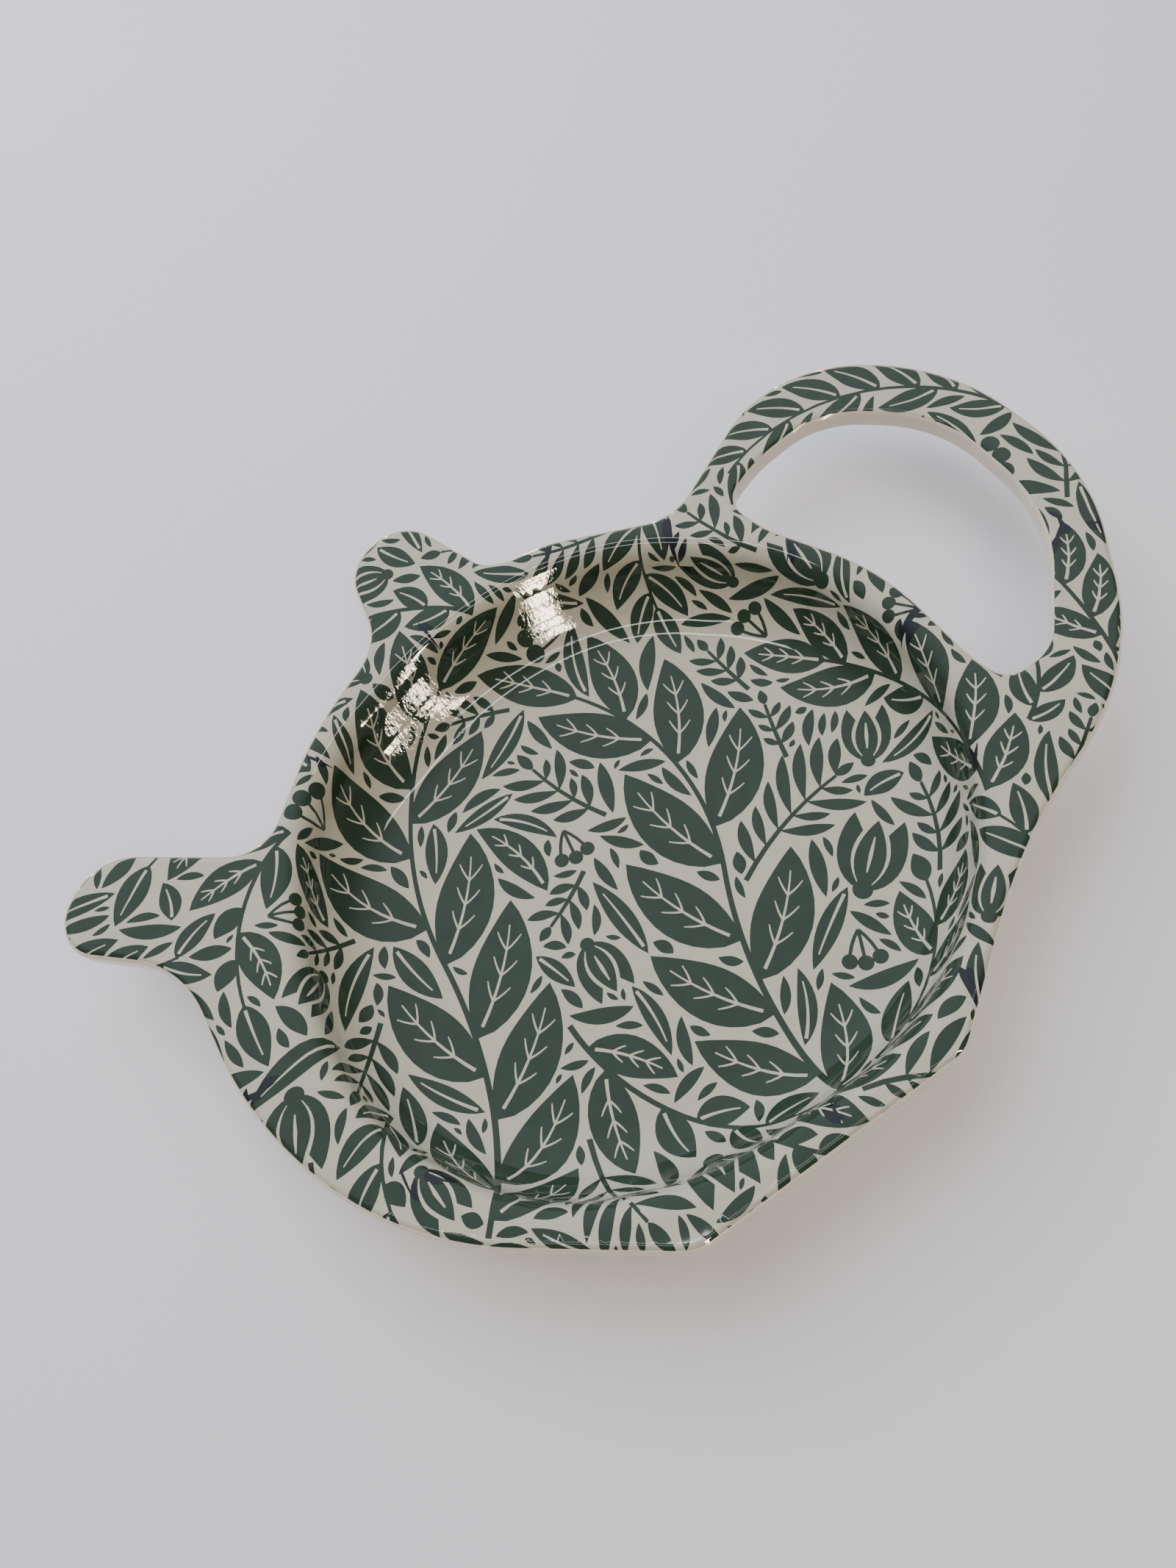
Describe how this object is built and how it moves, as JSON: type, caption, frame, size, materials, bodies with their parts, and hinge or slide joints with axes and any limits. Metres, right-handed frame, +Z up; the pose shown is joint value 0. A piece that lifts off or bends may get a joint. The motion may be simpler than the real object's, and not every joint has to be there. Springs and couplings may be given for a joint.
{
  "type": "tea bag rest",
  "caption": "Shallow teapot-shaped rest for used tea bags, with an oval well, a looped handle, a low foot ring and a printed face under a clear coat.",
  "frame": {"origin": "on the plane that the foot ring stands on, under the middle of the round body", "axes": "+X from the body to the handle, +Y from the base edge to the lid knob, +Z up out of the well"},
  "size_m": [0.1599, 0.1156, 0.0162],
  "materials": {
    "moulded_melamine": "gloss",
    "printed_foil": "gloss",
    "clear_melamine": "high gloss"
  },
  "bodies": {
    "root": {"dish_moulding": "moulded_melamine", "decal_foil": "printed_foil", "clear_glaze": "clear_melamine"}
  },
  "joints": []
}
